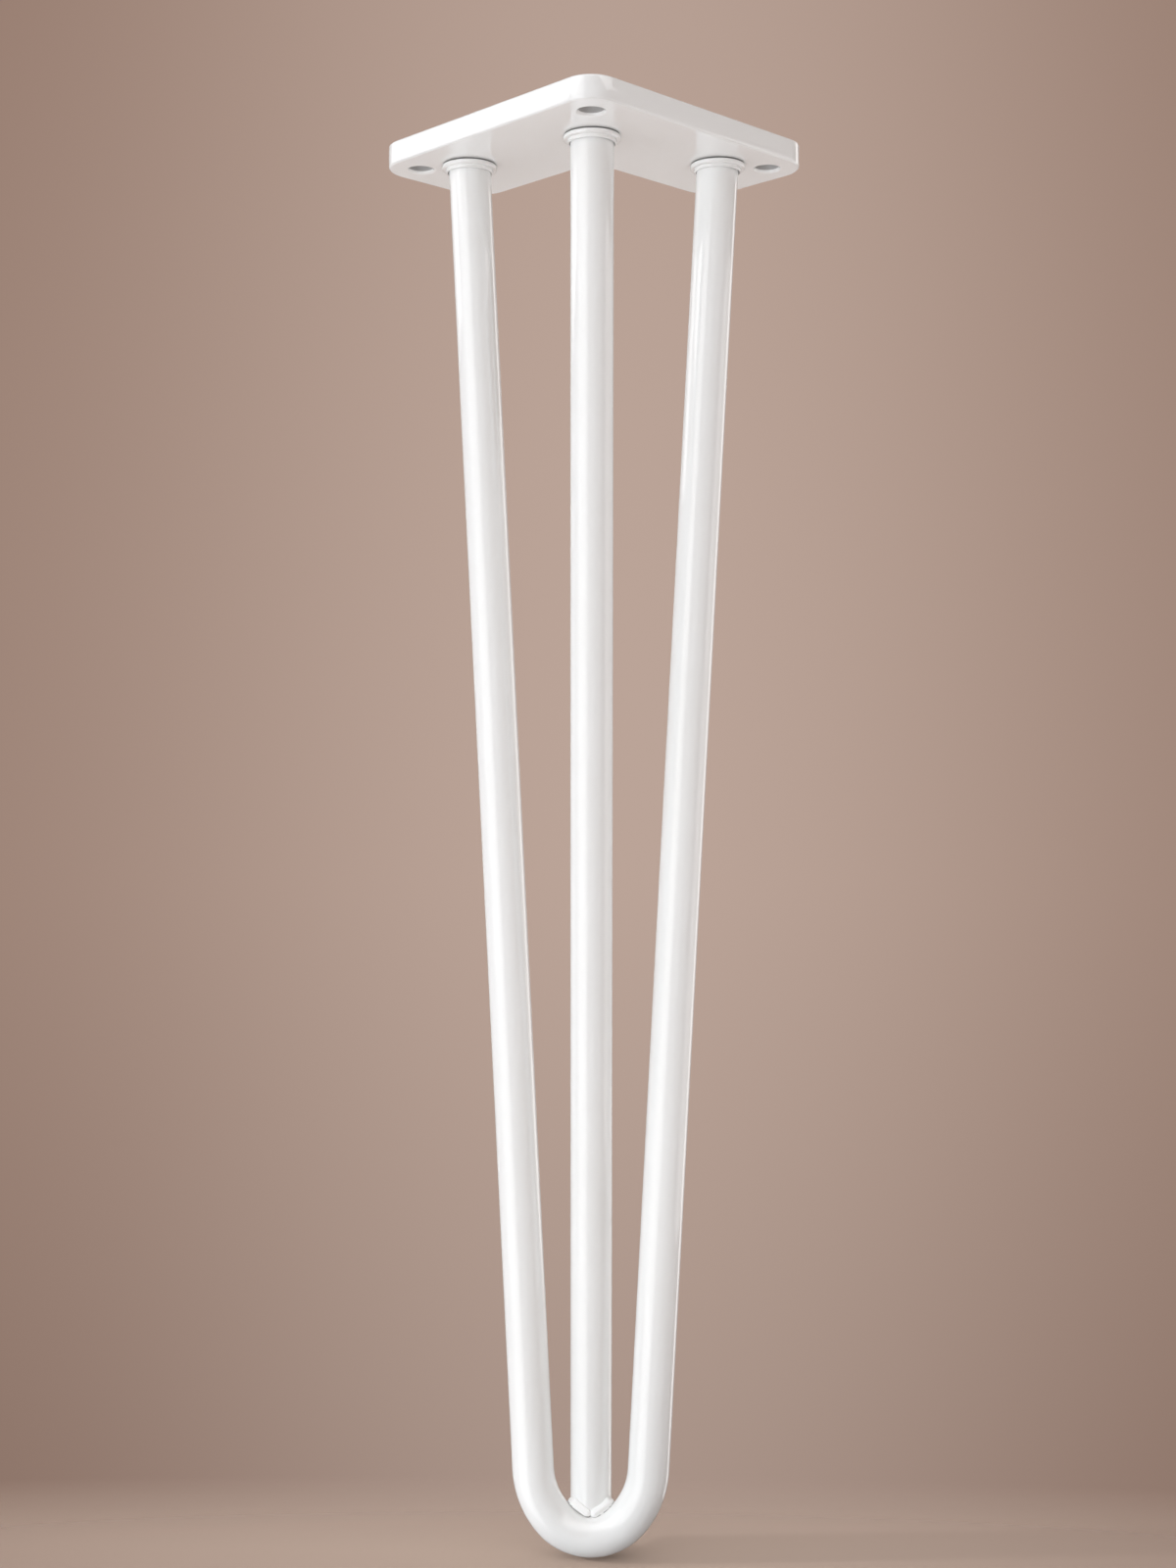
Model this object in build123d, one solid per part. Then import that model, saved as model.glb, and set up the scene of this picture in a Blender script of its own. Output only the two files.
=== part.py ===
from build123d import *
import os
from math import acos, asin, atan2, cos, degrees, hypot, radians, sin, sqrt

# A hairpin table leg with three rods. A flat L-shaped plate screws up under the corner of a table. One rod
# is bent to a hairpin whose arms reach the plate's two ends. A straight third rod runs from the plate's
# corner down to the back of the bend, where two beads weld it on. A stepped collar closes each rod's head.
#
# The origin is on the plate's top face, straight above the foot. +Z is up, +Y runs from the plate's outer
# corner to its open side, and the two sides of the YZ plane are alike. All sizes are in millimetres.

# Leg
leg_height = 406.0
outer_corner_to_foot = 48.0        # seen from above, along the diagonal of the plate

# Plate
plate_arm_length = 90.0            # from the outer corner to the end of an arm
plate_arm_width = 41.0
plate_thickness = 6.5
plate_front_radius = 8.0           # outer corner of the L
plate_end_radius = 10.0            # two corners at the end of each arm
plate_notch_radius = 4.0           # inner corner of the L
plate_edge_break = 0.5

# Screw holes, one at the corner and one at the end of each arm
screw_hole_diameter = 7.0
screw_hole_inset = 9.5             # hole centre from the outer edges and from the arm's end
screw_hole_break = 0.4             # bevel of the hole's two edges

# Rods
rod_diameter = 12.0
corner_rod_inset = 23.0            # third rod's head from both outer edges
side_rod_end_inset = 23.0          # hairpin's head from the end of the arm
side_rod_edge_inset = 16.5         # hairpin's head from the outer edge of the arm

# Bend of the hairpin, along the middle of the rod: a tight crown between two wider shoulders
crown_radius = 14.5
crown_half_angle = 50.0
shoulder_radius = 23.5

# Third rod's lower end, behind the bend
third_rod_reach = 4.0              # how far the end comes down below the top of the bend

# Collars: a lip against the plate and a narrower step below it
collar_height = 2.5
collar_lip_height = 1.4
collar_lip_width = 1.9             # beyond the rod
collar_step_width = 0.8            # beyond the rod
collar_edge_break = 0.45
collar_seam_break = 0.25           # leaves a fine groove at the plate

# Weld beads, one on each side of the third rod: a bar with round ends, larger at the side than in front
bead_front_radius = 1.3
bead_side_radius = 2.0
bead_stand_off = 1.0               # middle of each end beyond the third rod's surface
bead_front_angle = 11.0            # front end, turned round the third rod from its front line
bead_side_angle = 49.0             # side end, turned the same way
bead_side_climb = 2.2              # side end above the top of the bend, which the front end is level with

# Derived places
rod_radius = rod_diameter / 2
underside = -plate_thickness
bend_top = -leg_height + rod_diameter


def on_plate(along_right_arm, along_left_arm):
    # place on the plate, given by its distances from the outer corner along the two arms
    x = (along_right_arm - along_left_arm) * sqrt(0.5)
    y = (along_right_arm + along_left_arm) * sqrt(0.5) - outer_corner_to_foot
    return x, y


side_head_x, side_head_y = on_plate(plate_arm_length - side_rod_end_inset, side_rod_edge_inset)
corner_head_x, corner_head_y = on_plate(corner_rod_inset, corner_rod_inset)


def below_plate(rod):
    # a rod ends square against the underside of the plate
    return split(rod, bisect_by=Plane((0, 0, underside)), keep=Keep.BOTTOM)


def make_screw_hole():
    # drill and bevels, from the top face down
    hole = screw_hole_diameter / 2
    rim = hole + screw_hole_break
    profile = Polyline(
        (0, 0),
        (rim, 0),
        (hole, -screw_hole_break),
        (hole, underside + screw_hole_break),
        (rim, underside),
        (0, underside),
        close=True,
    )
    return revolve(Plane.XZ * make_face(profile), Axis.Z)


def make_plate():
    # the L lies along X and Y here, with its outer corner at the origin, and is turned into place at the end
    outline = Polyline(
        (0, 0),
        (plate_arm_length, 0),
        (plate_arm_length, plate_arm_width),
        (plate_arm_width, plate_arm_width),
        (plate_arm_width, plate_arm_length),
        (0, plate_arm_length),
        close=True,
    )
    plate = extrude(make_face(outline), amount=underside)
    beyond = (plate_arm_length + plate_arm_width) / 2
    corners = plate.edges().filter_by(Axis.Z)
    ends = [edge for edge in corners if max(edge.center().X, edge.center().Y) > beyond]
    plate = fillet(ends, plate_end_radius)
    front = (0, 0, underside / 2)
    notch = (plate_arm_width, plate_arm_width, underside / 2)
    for place, radius in ((front, plate_front_radius), (notch, plate_notch_radius)):
        corner = plate.edges().filter_by(Axis.Z).sort_by_distance(place)[0]
        plate = fillet(corner, radius)
    top = plate.faces().sort_by(Axis.Z)[-1]
    bottom = plate.faces().sort_by(Axis.Z)[0]
    plate = chamfer(top.edges() + bottom.edges(), plate_edge_break)
    near = screw_hole_inset
    far = plate_arm_length - screw_hole_inset
    for place in ((near, near), (far, near), (near, far)):
        plate -= Pos(*place) * make_screw_hole()
    return Location((0, -outer_corner_to_foot, 0), (0, 0, 45)) * plate


def make_hairpin_rod():
    # the bend's plane leans back a little, from the foot to the two heads
    lowest = Vector(0, 0, -leg_height + rod_radius)
    to_heads = Vector(0, side_head_y, underside) - lowest
    plane = Plane(lowest, x_dir=(1, 0, 0), z_dir=Vector(1, 0, 0).cross(to_heads))
    # right half in that plane: crown, shoulder, then an arm that leaves the shoulder towards the head
    turn = radians(crown_half_angle)
    middle_x = (crown_radius - shoulder_radius) * sin(turn)
    middle_y = crown_radius + (shoulder_radius - crown_radius) * cos(turn)
    head_x = side_head_x - middle_x
    head_y = to_heads.length - middle_y
    lean = acos(shoulder_radius / hypot(head_x, head_y)) - atan2(head_y, head_x)
    arm_start = Vector(middle_x + shoulder_radius * cos(lean), middle_y - shoulder_radius * sin(lean))
    arm_end = Vector(side_head_x, to_heads.length) + Vector(sin(lean), cos(lean)) * rod_diameter
    crown = CenterArc((0, crown_radius), crown_radius, 270 - crown_half_angle, 2 * crown_half_angle)
    shoulder_turn = 90 - crown_half_angle - degrees(lean)
    shoulder = CenterArc((middle_x, middle_y), shoulder_radius, 270 + crown_half_angle, shoulder_turn)
    half = [shoulder, Line(arm_start, arm_end)]
    other_half = [mirror(piece, Plane.YZ) for piece in half]
    path = plane * Wire([edge for piece in [crown, *half, *other_half] for edge in piece.edges()])
    section = Plane(path @ 0, z_dir=path % 0) * Circle(rod_radius)
    return below_plate(sweep(section, path=path))


def make_third_rod(hairpin_rod):
    # its front line meets the middle of the bend, and its end is coped to sit on the bend's back
    head = Vector(corner_head_x, corner_head_y, underside)
    end = Vector(0, rod_radius, bend_top - third_rod_reach)
    length = (head - end).length + rod_diameter
    rod = Plane(end, z_dir=head - end) * Cylinder(
        rod_radius, length, align=(Align.CENTER, Align.CENTER, Align.MIN)
    )
    return below_plate(rod) - hairpin_rod


def make_collar(x, y, rod):
    lip = rod_radius + collar_lip_width
    step = rod_radius + collar_step_width
    profile = Polyline(
        (0, 0),
        (lip - collar_seam_break, 0),
        (lip, -collar_seam_break),
        (lip, collar_edge_break - collar_lip_height),
        (lip - collar_edge_break, -collar_lip_height),
        (step, -collar_lip_height),
        (step, collar_edge_break - collar_height),
        (step - collar_edge_break, -collar_height),
        (0, -collar_height),
        close=True,
    )
    ring = revolve(Plane.XZ * make_face(profile), Axis.Z)
    return Pos(x, y, underside) * ring - rod


def bead_end(angle, height):
    # point beside the third rod, turned by the angle from its front line towards the left
    reach = rod_radius + bead_stand_off
    x = -reach * sin(radians(angle))
    y = rod_radius - reach * cos(radians(angle))
    return Vector(x, y, height)


def make_weld_bead(rods):
    # left bead, laid in the corner between the third rod and the bend and cut to both
    front = bead_end(bead_front_angle, bend_top)
    side = bead_end(bead_side_angle, bend_top + bead_side_climb)
    length = (side - front).length
    taper = degrees(asin((bead_side_radius - bead_front_radius) / length))
    front_end = CenterArc((0, 0), bead_front_radius, -90, 90 - taper)
    side_end = CenterArc((0, length), bead_side_radius, -taper, 90 + taper)
    flank = Line(front_end @ 1, side_end @ 0)
    profile = make_face([front_end, flank, side_end, Line(side_end @ 1, front_end @ 0)])
    bead = Plane(front, z_dir=side - front) * revolve(Plane.XZ * profile, Axis.Z)
    for rod in rods:
        bead -= rod
    return bead


hairpin_rod = make_hairpin_rod()
third_rod = make_third_rod(hairpin_rod)
left_bead = make_weld_bead((third_rod, hairpin_rod))

pieces = {
    "mounting_plate": make_plate(),
    "hairpin_rod": hairpin_rod,
    "third_rod": third_rod,
    "corner_collar": make_collar(corner_head_x, corner_head_y, third_rod),
    "left_collar": make_collar(-side_head_x, side_head_y, hairpin_rod),
    "right_collar": make_collar(side_head_x, side_head_y, hairpin_rod),
    "left_foot_weld": left_bead,
    "right_foot_weld": mirror(left_bead, Plane.YZ),
}

os.makedirs("parts", exist_ok=True)
for name, piece in pieces.items():
    export_step(piece, f"parts/{name}.step")
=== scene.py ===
import math

import bmesh
import bpy
from mathutils import Matrix, Vector
from mathutils.geometry import tessellate_polygon


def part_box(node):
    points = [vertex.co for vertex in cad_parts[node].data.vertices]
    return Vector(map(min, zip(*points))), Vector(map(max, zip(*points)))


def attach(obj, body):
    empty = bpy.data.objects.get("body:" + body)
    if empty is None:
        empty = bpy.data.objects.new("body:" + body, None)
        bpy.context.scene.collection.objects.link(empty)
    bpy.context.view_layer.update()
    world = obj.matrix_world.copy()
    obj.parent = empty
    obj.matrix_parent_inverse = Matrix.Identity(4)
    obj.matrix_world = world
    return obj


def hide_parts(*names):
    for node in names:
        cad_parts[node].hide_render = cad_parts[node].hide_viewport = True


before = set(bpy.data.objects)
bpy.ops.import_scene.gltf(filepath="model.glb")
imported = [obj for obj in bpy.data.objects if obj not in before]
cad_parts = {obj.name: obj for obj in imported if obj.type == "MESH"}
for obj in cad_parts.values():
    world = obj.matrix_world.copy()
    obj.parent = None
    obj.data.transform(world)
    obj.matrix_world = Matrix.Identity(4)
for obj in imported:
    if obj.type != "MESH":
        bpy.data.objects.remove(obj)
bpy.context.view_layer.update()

# A white hairpin leg: L-shaped plate, a rod bent to a hairpin, a straight third rod, collars and welds.
# Sizes are in millimetres, and every piece is turned to metres as it is made.
mm = 0.001


def boxOf(node):
    low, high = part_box(node)
    return low / mm, high / mm


def middleOf(node):
    low, high = boxOf(node)
    return (low + high) / 2


# places that several pieces share, read from the frame
plateLow, plateHigh = boxOf("mounting_plate")
underside = plateLow.z
footLevel = boxOf("hairpin_rod")[0].z
rodRadius = (boxOf("third_rod")[1].x - boxOf("third_rod")[0].x) / 2
bendTop = footLevel + 2 * rodRadius
sideHead = middleOf("right_collar")
cornerHead = middleOf("corner_collar")
print("frame read, foot at", round(footLevel, 2), "mm, rod radius", round(rodRadius, 3), "mm")


def linearColour(hexValue):
    # sRGB hex to linear
    channels = [int(hexValue[i:i + 2], 16) / 255 for i in (1, 3, 5)]
    return [c / 12.92 if c <= 0.04045 else ((c + 0.055) / 1.055) ** 2.4 for c in channels] + [1]


def addNode(tree, kind, inputs, **settings):
    node = tree.nodes.new(kind)
    for name, value in settings.items():
        setattr(node, name, value)
    for socket, value in inputs.items():
        if isinstance(value, bpy.types.NodeSocket):
            tree.links.new(value, node.inputs[socket])
        else:
            node.inputs[socket].default_value = value
    return node


def newMaterial(name):
    material = bpy.data.materials.new(name)
    material.use_nodes = True
    material.node_tree.nodes.clear()
    return material, material.node_tree


# Polyester powder coat on mild steel: sprayed dry, then baked until it melts and flows.
# The eye gets a clean white skin with clear reflections and the faintest orange peel.
powderCoat = {
    "white": "#f1f0ee",
    "thinWhite": "#ecebe8",      # where the coat lies a little thinner
    "cloudSize": 35,             # width of the patches of thin coat
    "roughness": (0.03, 0.06),
    "sheenSize": 12,             # width of the patches that are a little duller
    "sheenRange": (0.3, 0.7),    # noise values that get the two roughnesses
    "peelSize": 2.2,             # orange peel from bump to bump
    "peelHeight": 0.0015,
    "ior": 1.9,
}


def makePowderCoat(coat):
    material, tree = newMaterial("powderCoatedSteel")
    place = addNode(tree, "ShaderNodeTexCoord", {}).outputs["Object"]
    clouds = addNode(tree, "ShaderNodeTexNoise", {
        "Vector": place, "Scale": 1 / (coat["cloudSize"] * mm), "Detail": 3})
    colour = addNode(tree, "ShaderNodeMix", {
        0: clouds.outputs[0], 6: linearColour(coat["white"]), 7: linearColour(coat["thinWhite"])},
        data_type="RGBA")
    dull = addNode(tree, "ShaderNodeTexNoise", {
        "Vector": place, "Scale": 1 / (coat["sheenSize"] * mm), "Detail": 2})
    roughness = addNode(tree, "ShaderNodeMapRange", {
        "Value": dull.outputs[0], "From Min": coat["sheenRange"][0], "From Max": coat["sheenRange"][1],
        "To Min": coat["roughness"][0], "To Max": coat["roughness"][1]})
    peel = addNode(tree, "ShaderNodeTexNoise", {
        "Vector": place, "Scale": 1 / (coat["peelSize"] * mm), "Detail": 1})
    bump = addNode(tree, "ShaderNodeBump", {
        "Height": peel.outputs[0], "Distance": coat["peelHeight"] * mm, "Strength": 1})
    skin = addNode(tree, "ShaderNodeBsdfPrincipled", {
        "Base Color": colour.outputs[2], "Roughness": roughness.outputs[0],
        "IOR": coat["ior"], "Normal": bump.outputs[0]})
    addNode(tree, "ShaderNodeOutputMaterial", {"Surface": skin.outputs[0]})
    return material


# Painted shade: a dull grey that stands in for the shade inside holes and narrow corners.
# It gives a dull grey ring inside each white rim, and a grey line along the collars and the welds.
paintedShadeColour = {"grey": "#a3a09d", "roughness": 0.45, "ior": 1.5}


def makePaintedShade(bore):
    material, tree = newMaterial("paintedShadeGrey")
    skin = addNode(tree, "ShaderNodeBsdfPrincipled", {
        "Base Color": linearColour(bore["grey"]), "Roughness": bore["roughness"], "IOR": bore["ior"]})
    addNode(tree, "ShaderNodeOutputMaterial", {"Surface": skin.outputs[0]})
    return material


coatMaterial = makePowderCoat(powderCoat)
paintedShadeMaterial = makePaintedShade(paintedShadeColour)
print("powder coat and bore ready")


def circle(count):
    return [2 * math.pi * k / count for k in range(count)]


def quarterTurn(steps):
    return [math.pi / 2 * k / steps for k in range(steps + 1)]


def skinRings(rings, closed=False, capStart=False, capEnd=False):
    # quads between rings of equal count; the caps come last, so that they can be shaded flat
    points = [p for ring in rings for p in ring]
    count = len(rings[0])
    faces = []
    for r in range(len(rings) if closed else len(rings) - 1):
        a, b = r * count, ((r + 1) % len(rings)) * count
        for k in range(count):
            n = (k + 1) % count
            faces.append((a + k, a + n, b + n, b + k))
    smooth = len(faces)
    if capStart:
        faces.append(tuple(range(count)))
    if capEnd:
        faces.append(tuple(range((len(rings) - 1) * count, len(rings) * count)))
    return points, faces, smooth


sharpAngle = 40       # degrees between two faces from which their edge is a crease


def makePiece(name, points, faces, smooth, *nodes):
    mesh = bpy.data.meshes.new(name)
    mesh.from_pydata([Vector(p) * mm for p in points], [], faces)
    shape = bmesh.new()
    shape.from_mesh(mesh)
    bmesh.ops.recalc_face_normals(shape, faces=shape.faces)
    shape.to_mesh(mesh)
    shape.free()
    mesh.set_sharp_from_angle(angle=math.radians(sharpAngle))
    mesh.polygons.foreach_set("use_smooth", [k < smooth for k in range(len(faces))])
    mesh.materials.append(coatMaterial)
    piece = bpy.data.objects.new(name, mesh)
    bpy.context.scene.collection.objects.link(piece)
    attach(piece, "root")
    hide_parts(*nodes)
    print(name, len(faces), "faces")
    return piece


def paintShadeOnto(piece, faces):
    # faces painted grey as shade, in hollows and creases where shade falls
    piece.data.materials.append(paintedShadeMaterial)
    for face in faces:
        piece.data.polygons[face].material_index = 1


# Plate: an L of flat bar with softly broken edges and three screw holes
plate = {
    "armLength": 90,
    "armWidth": 41,
    "cornerToFoot": 48,      # outer corner to the foot, along the diagonal
    "frontRadius": 8,
    "endRadius": 10,         # two corners at the end of each arm
    "notchRadius": 4,
    "edgeRound": 0.6,
    "holeDiameter": 7,
    "holeInset": 9.5,
    "holeRound": 0.8,
    "cornerSteps": 20,
    "holeSteps": 64,
    "edgeSteps": 5,
}


def onPlate(u, v):
    # place given by its distances from the outer corner along the two arms
    return Vector(((u - v) * math.sqrt(0.5), (u + v) * math.sqrt(0.5) - plate["cornerToFoot"]))


def roundedLoop(corners, steps):
    # arcs at the corners of an outline that runs anticlockwise, each point with its outward normal
    loop = []
    for k, (corner, radius) in enumerate(corners):
        back = (corners[k - 1][0] - corner).normalized()
        ahead = (corners[(k + 1) % len(corners)][0] - corner).normalized()
        half = back.angle(ahead) / 2
        centre = corner + (back + ahead).normalized() * radius / math.sin(half)
        first = corner + back * radius / math.tan(half) - centre
        last = corner + ahead * radius / math.tan(half) - centre
        outward = 1 if back.cross(ahead) < 0 else -1
        turn = math.atan2(first.cross(last), first.dot(last))
        for step in range(steps + 1):
            spoke = Matrix.Rotation(turn * step / steps, 2) @ first
            loop.append((centre + spoke, spoke.normalized() * outward))
    return loop


def edgeRings(loop, rounding, steps):
    # from the top face round the upper edge, down the wall and round the lower edge
    upper = [(rounding * (1 - math.sin(a)), plateHigh.z - rounding * (1 - math.cos(a)))
             for a in quarterTurn(steps)]
    lower = [(inset, underside + plateHigh.z - z) for inset, z in reversed(upper)]
    return [[(*(p - n * inset), z) for p, n in loop] for inset, z in upper + lower]


def makePlate():
    length, width = plate["armLength"], plate["armWidth"]
    end, notch = plate["endRadius"], plate["notchRadius"]
    outline = [((0, 0), plate["frontRadius"]), ((length, 0), end), ((length, width), end),
               ((width, width), notch), ((width, length), end), ((0, length), end)]
    walls = [edgeRings(roundedLoop([(onPlate(*c), r) for c, r in outline], plate["cornerSteps"]),
                       plate["edgeRound"], plate["edgeSteps"])]
    near, far = plate["holeInset"], plate["armLength"] - plate["holeInset"]
    spokes = [Vector((math.cos(a), math.sin(a))) for a in circle(plate["holeSteps"])]
    for place in ((near, near), (far, near), (near, far)):
        hole = [(onPlate(*place) + s * plate["holeDiameter"] / 2, -s) for s in spokes]
        walls.append(edgeRings(hole, plate["holeRound"], plate["edgeSteps"]))
    points, faces, topLoops, bottomLoops, paintedShadeFaces = [], [], [], [], []
    for wall, rings in enumerate(walls):
        start = len(points)
        wallPoints, wallFaces, _ = skinRings(rings)
        count = len(rings[0])
        if wall > 0:        # the straight strip between the two rounded rims of a hole
            strip = len(faces) + plate["edgeSteps"] * count
            paintedShadeFaces += range(strip, strip + count)
        points += wallPoints
        faces += [tuple(start + k for k in face) for face in wallFaces]
        topLoops.append(range(start, start + count))
        bottomLoops.append(range(start + (len(rings) - 1) * count, start + len(rings) * count))
    smooth = len(faces)
    for loops in (topLoops, bottomLoops):
        order = [k for loop in loops for k in loop]
        triangles = tessellate_polygon([[Vector(points[k]) for k in loop] for loop in loops])
        faces += [tuple(order[k] for k in triangle) for triangle in triangles]
    # the straight strip inside each hole is painted shade
    paintShadeOnto(makePiece("plate", points, faces, smooth, "mounting_plate"), paintedShadeFaces)


makePlate()

# Hairpin: one rod, bent to a tight crown between two wider shoulders
hairpin = {
    "crownRadius": 14.5,
    "crownHalfAngle": 50,
    "shoulderRadius": 23.5,
    "bendStep": 2.5,         # degrees from ring to ring
    "armRings": 24,
    "segments": 80,
}
# the plane of the bend leans back a little, from the foot to the two heads
lowestAxis = Vector((0, 0, footLevel + rodRadius))
toHeads = Vector((0, sideHead.y, underside)) - lowestAxis
planeUp = toHeads.normalized()
planeSide = Vector((1, 0, 0)).cross(planeUp)


def hairpinPath():
    # right half in the plane of the bend, then mirrored: points with the direction that the rod runs in
    crown, shoulder = hairpin["crownRadius"], hairpin["shoulderRadius"]
    turn = math.radians(hairpin["crownHalfAngle"])
    middle = Vector(((crown - shoulder) * math.sin(turn), crown + (shoulder - crown) * math.cos(turn)))
    reach = Vector((sideHead.x, toHeads.length)) - middle
    lean = math.acos(shoulder / reach.length) - math.atan2(reach.y, reach.x)
    half = []
    for start, end, centre, radius in ((0, turn, Vector((0, crown)), crown),
                                       (turn, math.pi / 2 - lean, middle, shoulder)):
        steps = max(2, round(math.degrees(end - start) / hairpin["bendStep"]))
        for k in range(0 if start == 0 else 1, steps + 1):
            angle = start + (end - start) * k / steps
            run = Vector((math.cos(angle), math.sin(angle)))
            half.append((centre + radius * Vector((run.y, -run.x)), run))
    armStart, run = half[-1]
    armLength = (Vector((sideHead.x, toHeads.length)) - armStart).dot(run)
    for k in range(1, hairpin["armRings"] + 1):
        half.append((armStart + run * armLength * k / hairpin["armRings"], run))
    left = [(Vector((-p.x, p.y)), Vector((d.x, -d.y))) for p, d in reversed(half[1:])]
    return left + half


def makeHairpin():
    path = hairpinPath()
    rings = []
    for place, run in path:
        centre = lowestAxis + Vector((place.x, 0, 0)) + planeUp * place.y
        along = Vector((run.x, 0, 0)) + planeUp * run.y
        across = along.cross(planeSide)
        rings.append([centre + rodRadius * (across * math.cos(a) + planeSide * math.sin(a))
                      for a in circle(hairpin["segments"])])
    for end, (_, run) in ((0, path[0]), (-1, path[-1])):     # heads end square against the plate
        along = Vector((run.x, 0, 0)) + planeUp * run.y
        rings[end] = [p + along * (underside - p.z) / along.z for p in rings[end]]
    makePiece("hairpinRod", *skinRings(rings, capStart=True, capEnd=True), "hairpin_rod")


makeHairpin()

# Third rod: straight, from the plate's corner to the back of the bend, where its end is coped
thirdRod = {
    "endReach": 4,           # end below the top of the bend
    "sink": 0.05,            # coped end into the bend, so that no light passes between
    "rings": 24,
    "copeRings": 8,
    "copeHalvings": 30,      # steps of the search for the coped edge
    "segments": 80,
}


def bendGap(point):
    # distance from the surface of the hairpin's crown, less than 0 inside
    place = point - lowestAxis
    run = Vector((place.x, place.dot(planeUp) - hairpin["crownRadius"])).length - hairpin["crownRadius"]
    return math.hypot(run, place.dot(planeSide)) - rodRadius


def copeStart(point, along):
    # how far up from the square end the rod comes clear of the bend
    if bendGap(point) > 0:
        return 0
    low, high = 0, 2 * rodRadius
    for _ in range(thirdRod["copeHalvings"]):
        middle = (low + high) / 2
        low, high = (middle, high) if bendGap(point + along * middle) < 0 else (low, middle)
    return max(0, high - thirdRod["sink"])


def makeThirdRod():
    head = Vector((cornerHead.x, cornerHead.y, underside))
    end = Vector((0, rodRadius, bendTop - thirdRod["endReach"]))
    along = (head - end).normalized()
    side = Vector((1, 0, 0))
    front = along.cross(side)
    turns = circle(thirdRod["segments"])
    rings = []
    for k in range(1, thirdRod["copeRings"] + 1):
        radius = rodRadius * k / thirdRod["copeRings"]
        square = [end + radius * (side * math.cos(a) + front * math.sin(a)) for a in turns]
        rings.append([p + along * copeStart(p, along) for p in square])
    rim = rings[-1]
    top = [p + along * (underside - p.z) / along.z for p in rim]
    for k in range(1, thirdRod["rings"] + 1):
        rings.append([a.lerp(b, k / thirdRod["rings"]) for a, b in zip(rim, top)])
    makePiece("thirdRod", *skinRings(rings, capStart=True, capEnd=True), "third_rod")


makeThirdRod()

# Collars: a turned ring with a soft lip against the plate and a narrow step below it
collar = {
    "height": 2.5,
    "lipHeight": 1.6,
    "lipWidth": 1.9,         # beyond the rod
    "stepWidth": 0.8,        # beyond the rod
    "upperRound": 0.3,
    "lowerRound": 0.5,
    "stepRound": 0.3,
    "seam": 0.4,             # height of the groove against the plate
    "seamDepth": 1.3,
    "film": 0.04,            # roof of the groove, painted shade like the rest of the groove
    "gap": 0.3,              # between the step and the rod
    "gapDepth": 0.8,
    "sink": 0.4,             # bore into the rod, so that no light passes between
    "roundSteps": 8,
    "segments": 96,
}


def collarProfile():
    # radius and depth below the plate, from the bore out over the lip and the step and back to the bore
    lip, step = rodRadius + collar["lipWidth"], rodRadius + collar["stepWidth"]
    bore, gap = rodRadius - collar["sink"], rodRadius + collar["gap"]
    neck = lip - collar["seamDepth"]
    skirt = lip - collar["upperRound"]
    bottom = collar["height"] - collar["gapDepth"]
    quarter = quarterTurn(collar["roundSteps"])

    def lowerEdge(radius, depth, rounding):
        return [(radius - rounding * (1 - math.cos(a)), depth - rounding * (1 - math.sin(a)))
                for a in quarter]

    groove = [(bore, 0), (skirt, 0), (skirt, collar["film"]),
              (neck, collar["film"]), (neck, collar["seam"])]
    upperEdge = [(lip - collar["upperRound"] * (1 - math.sin(a)),
                  collar["seam"] + collar["upperRound"] * (1 - math.cos(a))) for a in quarter]
    outside = [*upperEdge, *lowerEdge(lip, collar["lipHeight"], collar["lowerRound"]),
               (step, collar["lipHeight"]), *lowerEdge(step, collar["height"], collar["stepRound"])]
    inside = [(gap, collar["height"]), (gap, bottom), (bore, bottom)]
    return groove, outside, inside


def makeCollar(name, node):
    place = middleOf(node)
    groove, outside, inside = collarProfile()
    rings = [[(place.x + r * math.cos(a), place.y + r * math.sin(a), underside - depth)
              for a in circle(collar["segments"])] for r, depth in groove + outside + inside]
    piece = makePiece(name, *skinRings(rings, closed=True), node)
    count = collar["segments"]
    # the groove against the plate and the gap under the step are painted shade
    inGroove = range(len(groove) * count)
    inGap = range(len(groove + outside) * count, len(rings) * count)
    paintShadeOnto(piece, [*inGroove, *inGap])


makeCollar("cornerCollar", "corner_collar")
makeCollar("leftCollar", "left_collar")
makeCollar("rightCollar", "right_collar")

# Welds: two short beads in the corner between the third rod and the bend, thicker at the side
weld = {
    "frontRadius": 1.6,
    "sideRadius": 2.1,
    "standOff": 0.4,         # middle of each end beyond the third rod
    "frontAngle": 11,        # turned round the third rod from its front line
    "sideAngle": 49,
    "frontClimb": 0.2,       # front end above the top of the bend
    "sideClimb": 2.2,        # side end above the top of the bend
    "strands": 6,            # ridges that run along the bead
    "strandHeight": 0.12,
    "rings": 60,
    "segments": 48,
}
# what differs: side of the leg, turn of the ridges, and how far from the bend the crease is painted shade
leftWeld = {"side": -1, "strandTurn": 0.0, "toeShadeReach": 0.4}
rightWeld = {"side": 1, "strandTurn": 1.9, "toeShadeReach": 0.15}


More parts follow.
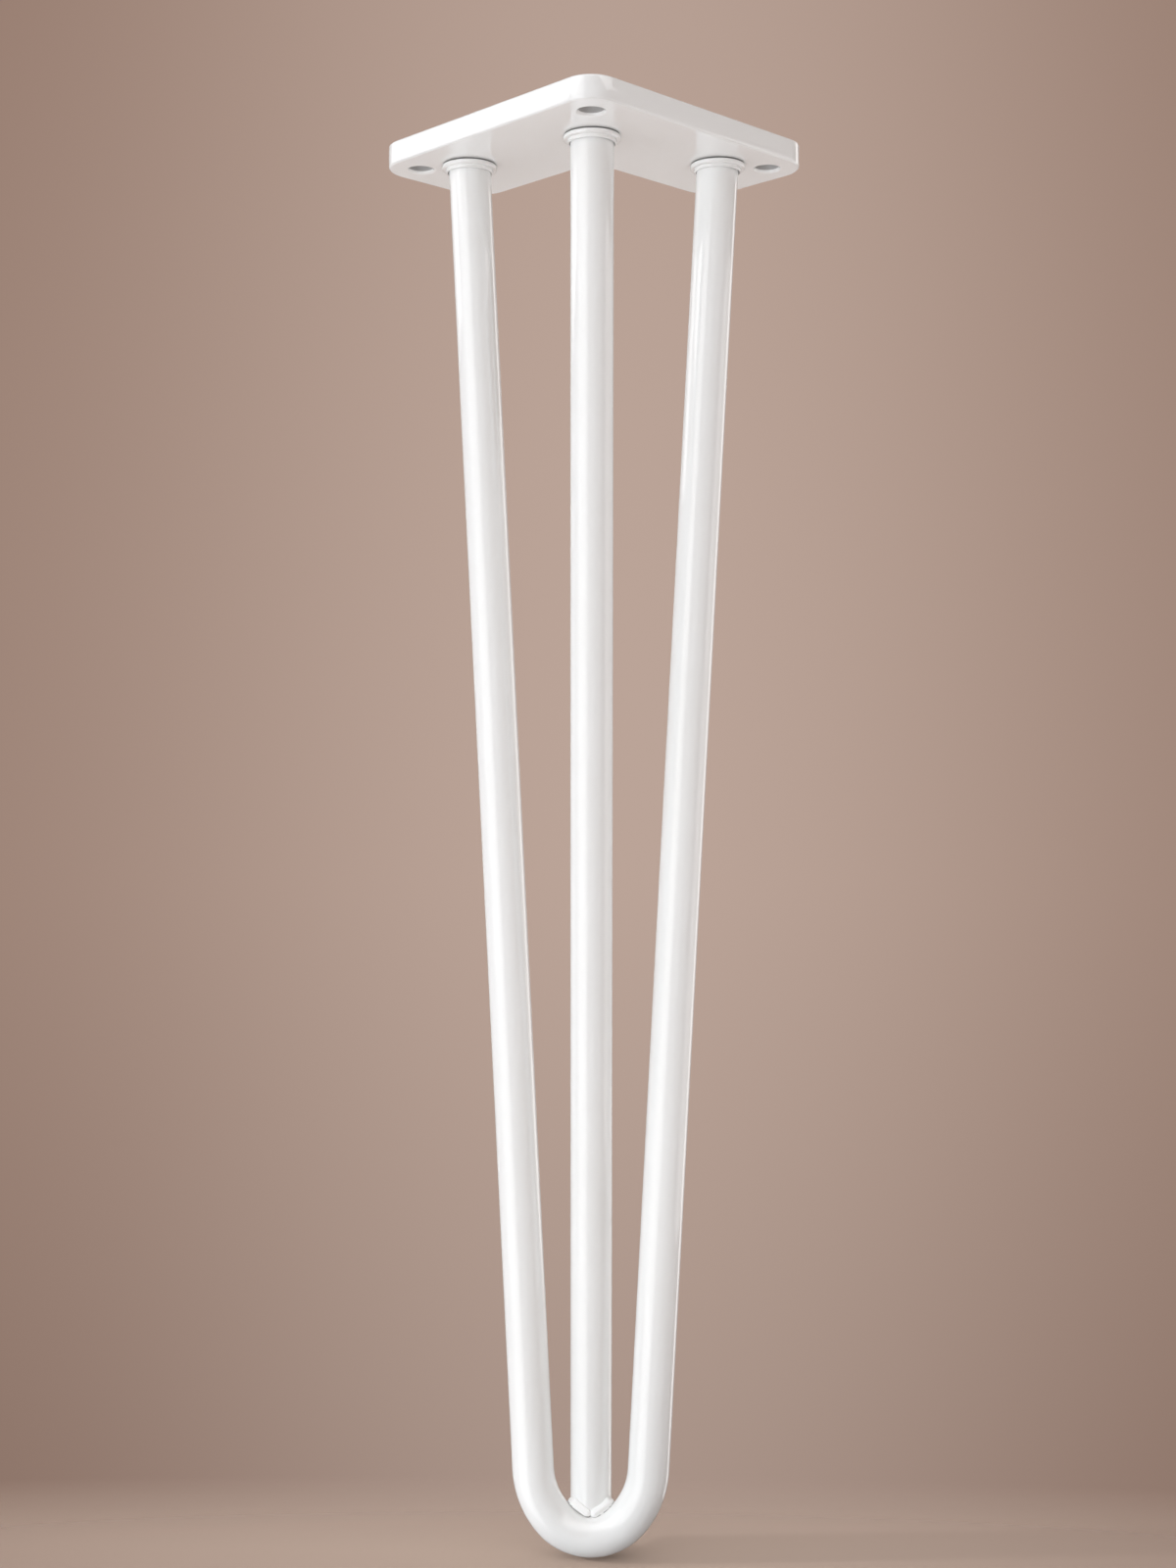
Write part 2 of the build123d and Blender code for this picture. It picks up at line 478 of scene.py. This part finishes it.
def makeWeld(name, node, own):
    reach = rodRadius + weld["standOff"]
    ends = []
    for angle, climb in ((weld["frontAngle"], weld["frontClimb"]), (weld["sideAngle"], weld["sideClimb"])):
        turn = math.radians(angle)
        ends.append(Vector((own["side"] * reach * math.sin(turn),
                            rodRadius - reach * math.cos(turn), bendTop + climb)))
    small, large = weld["frontRadius"], weld["sideRadius"]
    run = ends[1] - ends[0]
    along = run.normalized()
    across = along.orthogonal().normalized()
    third = along.cross(across)
    taper = math.asin((large - small) / run.length)
    rings = []
    for k in range(1, weld["rings"]):
        # rings lie closer together towards the round ends
        share = math.pi * k / weld["rings"]
        place = -small + (run.length + small + large) * (1 - math.cos(share)) / 2
        if place < -small * math.sin(taper):
            radius = math.sqrt(small ** 2 - place ** 2)
        elif place > run.length - large * math.sin(taper):
            radius = math.sqrt(max(large ** 2 - (place - run.length) ** 2, 0))
        else:
            radius = small / math.cos(taper) + place * math.tan(taper)
        centre = ends[0] + along * place
        height = weld["strandHeight"] * min(1, radius / small)
        ring = []
        for a in circle(weld["segments"]):
            ridge = height * math.cos(weld["strands"] * a + own["strandTurn"])
            ring.append(centre + (radius + ridge) * (across * math.cos(a) + third * math.sin(a)))
        rings.append(ring)
    piece = makePiece(name, *skinRings(rings, capStart=True, capEnd=True), node)
    # faces of the bead within that reach of the bend are painted shade, along the crease
    paintShadeOnto(piece, [f.index for f in piece.data.polygons if bendGap(f.center / mm) < own["toeShadeReach"]])


makeWeld("leftWeld", "left_foot_weld", leftWeld)
makeWeld("rightWeld", "right_foot_weld", rightWeld)

# Painted board, rolled with matt emulsion: a warm pale ground that takes the shadow and no glare.
# Away from the foot it fades for the camera into the backdrop, so that no horizon shows.
floorBoard = {
    "colour": "#b29e90",
    "poolSide": 400,             # reach of the part that the camera sees, from the foot
    "poolFront": 300,
    "poolBack": 58,
    "bounce": "#f2efee",         # what the leg gets back from it, so that the white stays neutral
    "paintedShadow": "#8d8a88",        # painted shadow in the light it sends back, close to the foot
    "paintedShadowPlace": (34, -12),   # middle of that, seen from above
    "paintedShadowReach": (18, 90),    # it is whole up to the first distance and gone at the second
    "radius": 3000,
    "segments": 96,
}


def makeBoard():
    material, tree = newMaterial("mattPaintedBoard")
    place = addNode(tree, "ShaderNodeTexCoord", {}).outputs["Object"]
    ray = addNode(tree, "ShaderNodeLightPath", {})
    # painted shadow: the light that the board sends back is darker near the foot and to its right
    paintedShadow = Vector((*floorBoard["paintedShadowPlace"], 0)) * mm
    beside = addNode(tree, "ShaderNodeVectorMath", {0: place, 1: paintedShadow}, operation="DISTANCE")
    near, far = floorBoard["paintedShadowReach"]
    apart = addNode(tree, "ShaderNodeMapRange", {
        "Value": beside.outputs["Value"], "From Min": near * mm, "From Max": far * mm},
        interpolation_type="SMOOTHSTEP")
    bounce = addNode(tree, "ShaderNodeMix", {
        0: apart.outputs[0], 6: linearColour(floorBoard["paintedShadow"]),
        7: linearColour(floorBoard["bounce"])}, data_type="RGBA")
    thrown = addNode(tree, "ShaderNodeMix", {
        0: ray.outputs["Is Camera Ray"], 6: bounce.outputs[2],
        7: linearColour(floorBoard["colour"])}, data_type="RGBA")
    paint = addNode(tree, "ShaderNodeBsdfDiffuse", {"Color": thrown.outputs[2]})
    axes = addNode(tree, "ShaderNodeSeparateXYZ", {0: place}).outputs
    side = addNode(tree, "ShaderNodeMath", {
        0: axes["X"], 1: floorBoard["poolSide"] * mm}, operation="DIVIDE")
    front = addNode(tree, "ShaderNodeMath", {
        0: axes["Y"], 1: -floorBoard["poolFront"] * mm}, operation="DIVIDE")
    back = addNode(tree, "ShaderNodeMath", {
        0: axes["Y"], 1: floorBoard["poolBack"] * mm}, operation="DIVIDE")
    along = addNode(tree, "ShaderNodeMath", {0: front.outputs[0], 1: back.outputs[0]}, operation="MAXIMUM")
    inPool = addNode(tree, "ShaderNodeCombineXYZ", {"X": side.outputs[0], "Y": along.outputs[0]})
    away = addNode(tree, "ShaderNodeVectorMath", {0: inPool.outputs[0]}, operation="LENGTH")
    faded = addNode(tree, "ShaderNodeMath", {
        0: away.outputs["Value"], 1: ray.outputs["Is Camera Ray"]}, operation="MULTIPLY", use_clamp=True)
    clear = addNode(tree, "ShaderNodeBsdfTransparent", {})
    shown = addNode(tree, "ShaderNodeMixShader", {
        0: faded.outputs[0], 1: paint.outputs[0], 2: clear.outputs[0]})
    addNode(tree, "ShaderNodeOutputMaterial", {"Surface": shown.outputs[0]})
    return material


def makeFloor():
    mesh = bpy.data.meshes.new("floor")
    rim = [(math.cos(a) * floorBoard["radius"] * mm, math.sin(a) * floorBoard["radius"] * mm, 0)
           for a in circle(floorBoard["segments"])]
    mesh.from_pydata(rim, [], [tuple(range(len(rim)))])
    mesh.materials.append(makeBoard())
    floor = bpy.data.objects.new("floor", mesh)
    floor.location.z = footLevel * mm
    floor.visible_glossy = False       # the soft box shows in the rods down to the foot
    bpy.context.scene.collection.objects.link(floor)
    only = bpy.data.collections.new("floorOnly")
    only.objects.link(floor)
    return only


floorOnly = makeFloor()
print("floor laid")

# Lights: even sky light that is stronger overhead and comes back from the floor, and a key at the
# left front. The gloss lamps only show as reflections, and the others light without showing.
# the backdrop's lit parts, edge colour and low shade are painted light and shade in the world colour
sky = {
    "colour": "#faf7f7",
    "horizon": 0.45,         # strength at the horizon and below
    "zenithGain": 0.58,      # how much is added straight above
    "backdrop": "#bba498",
    "edge": "#977d70",       # backdrop to both sides of each lit part, and a little towards top and bottom
    "litParts": 8,           # round the leg
    "edgeShare": 0.86,       # of the edge colour half-way between two lit parts
    "edgeHeight": 0.95,      # height that is all edge colour, 1 being straight up
    "lowShade": 0.84,        # backdrop where it runs down behind the board
    "lowReach": (-0.37, -0.075),     # heights between which it gets that dark, -1 being straight down
}
lamps = {
    # the key, in two parts: a little of it throws shadows and most of it doesn't
    "keyPanel": {
        "place": (-1720, -1360, 560), "aim": (0, 0, -200), "size": (2180, 3000),
        "colour": "#ebf6ff", "power": 4, "gloss": False, "shadow": True},
    "keyWash": {
        "place": (-1720, -1360, 560), "aim": (0, 0, -200), "size": (2180, 3000),
        "colour": "#ebf6ff", "power": 24.9, "gloss": False, "shadow": False},
    # small lights for the foot
    "lowCard": {
        "place": (-450, -330, -385), "aim": (0, 0, -370), "size": (300, 120),
        "colour": "#ebf6ff", "power": 0.37, "gloss": False, "shadow": False},
    "footCard": {
        "place": (-90, -190, -404), "aim": (-14, 0, -402), "size": (60, 4), "spread": 24,
        "colour": "#ebf6ff", "power": 0.0014, "gloss": False, "shadow": False},
    "footGlint": {
        "place": (110, -160, -300), "aim": (0, 0, -392), "size": (170, 90), "spread": 40,
        "colour": "#ffffff", "power": 0.0034, "gloss": True, "shadow": True},
    # lights the board alone, so that the leg throws a shadow to the right
    "shadowLamp": {
        "place": (-940, -60, -66), "aim": (20, 0, -406), "size": (30, 30), "spread": 36, "floorOnly": True,
        "colour": "#ffffff", "power": 0.15, "gloss": False, "shadow": True},
    # a touch of light from the right
    "fillPanel": {
        "place": (800, -300, -100), "aim": (0, 0, -200), "size": (600, 600),
        "colour": "#ffffff", "power": 0.04, "gloss": False, "shadow": True},
    # reflections: along the left of each rod, on the plate's left wall, on top of the bend, on the right
    "softBox": {
        "place": (-1839, -1543, -400), "aim": (0, 0, -400), "size": (2340, 4200),
        "colour": "#ffffff", "power": 32, "gloss": True, "shadow": True},
    "sideBox": {
        "place": (-3000, 925, 1000), "aim": (0, 925, 0), "size": (2150, 900),
        "colour": "#ffffff", "power": 8.6, "gloss": True, "shadow": True},
    "overheadBox": {
        "place": (-1450, -900, 1000), "aim": (-1450, -900, 0), "size": (4100, 1500),
        "colour": "#ffffff", "power": 26, "gloss": True, "shadow": True},
    "overheadWing": {
        "place": (1800, -900, 1000), "aim": (1800, -900, 0), "size": (2400, 1500),
        "colour": "#ffffff", "power": 14, "gloss": True, "shadow": True},
    "rimStrip": {
        "place": (843, 707, -200), "aim": (0, 0, -200), "size": (350, 1800),
        "colour": "#ffffff", "power": 3, "gloss": True, "shadow": True},
    "rightCard": {
        "place": (1970, 347, -240), "aim": (0, 0, -240), "size": (1865, 1320),
        "colour": "#ffffff", "power": 6, "gloss": True, "shadow": True},
}
fullSpread = 180      # degrees, for a lamp that states no spread


def makeLamp(name, lamp):
    light = bpy.data.lights.new(name, "AREA")
    light.shape = "RECTANGLE"
    light.size, light.size_y = (side * mm for side in lamp["size"])
    light.color = linearColour(lamp["colour"])[:3]
    light.energy = lamp["power"]
    light.spread = math.radians(lamp.get("spread", fullSpread))
    light.use_shadow = lamp["shadow"]
    light.cycles.use_multiple_importance_sampling = lamp["shadow"]
    place = Vector(lamp["place"])
    turn = (Vector(lamp["aim"]) - place).to_track_quat("-Z", "Y").to_matrix().to_4x4()
    panel = bpy.data.objects.new(name, light)
    panel.matrix_world = Matrix.Translation(place * mm) @ turn
    panel.visible_camera = False
    panel.visible_glossy = lamp["gloss"]
    panel.visible_diffuse = not lamp["gloss"]
    if lamp.get("floorOnly"):
        panel.light_linking.receiver_collection = floorOnly
    bpy.context.scene.collection.objects.link(panel)


def makeSky():
    world = bpy.data.worlds.new("sky")
    world.use_nodes = True
    tree = world.node_tree
    tree.nodes.clear()
    direction = addNode(tree, "ShaderNodeTexCoord", {}).outputs["Generated"]
    axes = addNode(tree, "ShaderNodeSeparateXYZ", {0: direction}).outputs
    height = axes["Z"]
    strength = addNode(tree, "ShaderNodeMapRange", {
        "Value": height, "To Min": sky["horizon"], "To Max": sky["horizon"] + sky["zenithGain"]})
    light = addNode(tree, "ShaderNodeBackground", {
        "Color": linearColour(sky["colour"]), "Strength": strength.outputs[0]})
    # the backdrop goes from lit to edge colour and back for each lit part, by a squared sine
    turn = addNode(tree, "ShaderNodeMath", {0: axes["X"], 1: axes["Y"]}, operation="ARCTAN2")
    phase = addNode(tree, "ShaderNodeMath", {
        0: turn.outputs[0], 1: sky["litParts"] / 2}, operation="MULTIPLY")
    wave = addNode(tree, "ShaderNodeMath", {0: phase.outputs[0]}, operation="SINE")
    aside = addNode(tree, "ShaderNodeMath", {0: wave.outputs[0], 1: 2}, operation="POWER")
    raised = addNode(tree, "ShaderNodeMath", {0: height, 1: 1 / sky["edgeHeight"]}, operation="MULTIPLY")
    upDown = addNode(tree, "ShaderNodeMath", {0: raised.outputs[0], 1: 2}, operation="POWER")
    edge = addNode(tree, "ShaderNodeMath", {
        0: aside.outputs[0], 1: sky["edgeShare"], 2: upDown.outputs[0]}, operation="MULTIPLY_ADD")
    wall = addNode(tree, "ShaderNodeMix", {
        0: edge.outputs[0], 6: linearColour(sky["backdrop"]), 7: linearColour(sky["edge"])},
        data_type="RGBA")
    low, level = sky["lowReach"]
    falling = addNode(tree, "ShaderNodeMapRange", {
        "Value": height, "From Min": low, "From Max": level, "To Min": sky["lowShade"], "To Max": 1})
    backdrop = addNode(tree, "ShaderNodeBackground", {
        "Color": wall.outputs[2], "Strength": falling.outputs[0]})
    ray = addNode(tree, "ShaderNodeLightPath", {})
    mirrored = addNode(tree, "ShaderNodeMath", {
        0: ray.outputs["Is Glossy Ray"], 1: ray.outputs["Is Transmission Ray"]}, operation="MAXIMUM")
    seen = addNode(tree, "ShaderNodeMath", {
        0: ray.outputs["Is Camera Ray"], 1: mirrored.outputs[0]}, operation="MAXIMUM")
    shown = addNode(tree, "ShaderNodeMixShader", {
        0: seen.outputs[0], 1: light.outputs[0], 2: backdrop.outputs[0]})
    addNode(tree, "ShaderNodeOutputWorld", {"Surface": shown.outputs[0]})
    bpy.context.scene.world = world


for name, lamp in lamps.items():
    makeLamp(name, lamp)
makeSky()
bpy.context.scene.view_settings.view_transform = "Standard"
print("studio lit")

# Camera: well below the plate, so that its underside shows
camera = {
    "place": (7.84, -531.49, -172.11),
    "turn": 0.966,           # degrees to the left
    "tilt": -1.336,          # degrees up from level, so that it looks down a little
    "roll": 0.091,
    "focalLength": 42.96,    # on a 36 mm frame, along the picture's long side
    "sensor": 36,
    "clipStart": 10,
}


def makeCamera():
    lens = bpy.data.cameras.new("camera")
    lens.lens = camera["focalLength"]
    lens.sensor_width = camera["sensor"]
    lens.clip_start = camera["clipStart"] * mm
    eye = bpy.data.objects.new("camera", lens)
    level = math.pi / 2      # a camera that isn't turned looks straight down
    turn = (Matrix.Rotation(math.radians(camera["turn"]), 4, "Z")
            @ Matrix.Rotation(level + math.radians(camera["tilt"]), 4, "X")
            @ Matrix.Rotation(math.radians(camera["roll"]), 4, "Z"))
    eye.matrix_world = Matrix.Translation(Vector(camera["place"]) * mm) @ turn
    bpy.context.scene.collection.objects.link(eye)
    bpy.context.scene.camera = eye


makeCamera()
print("camera set")
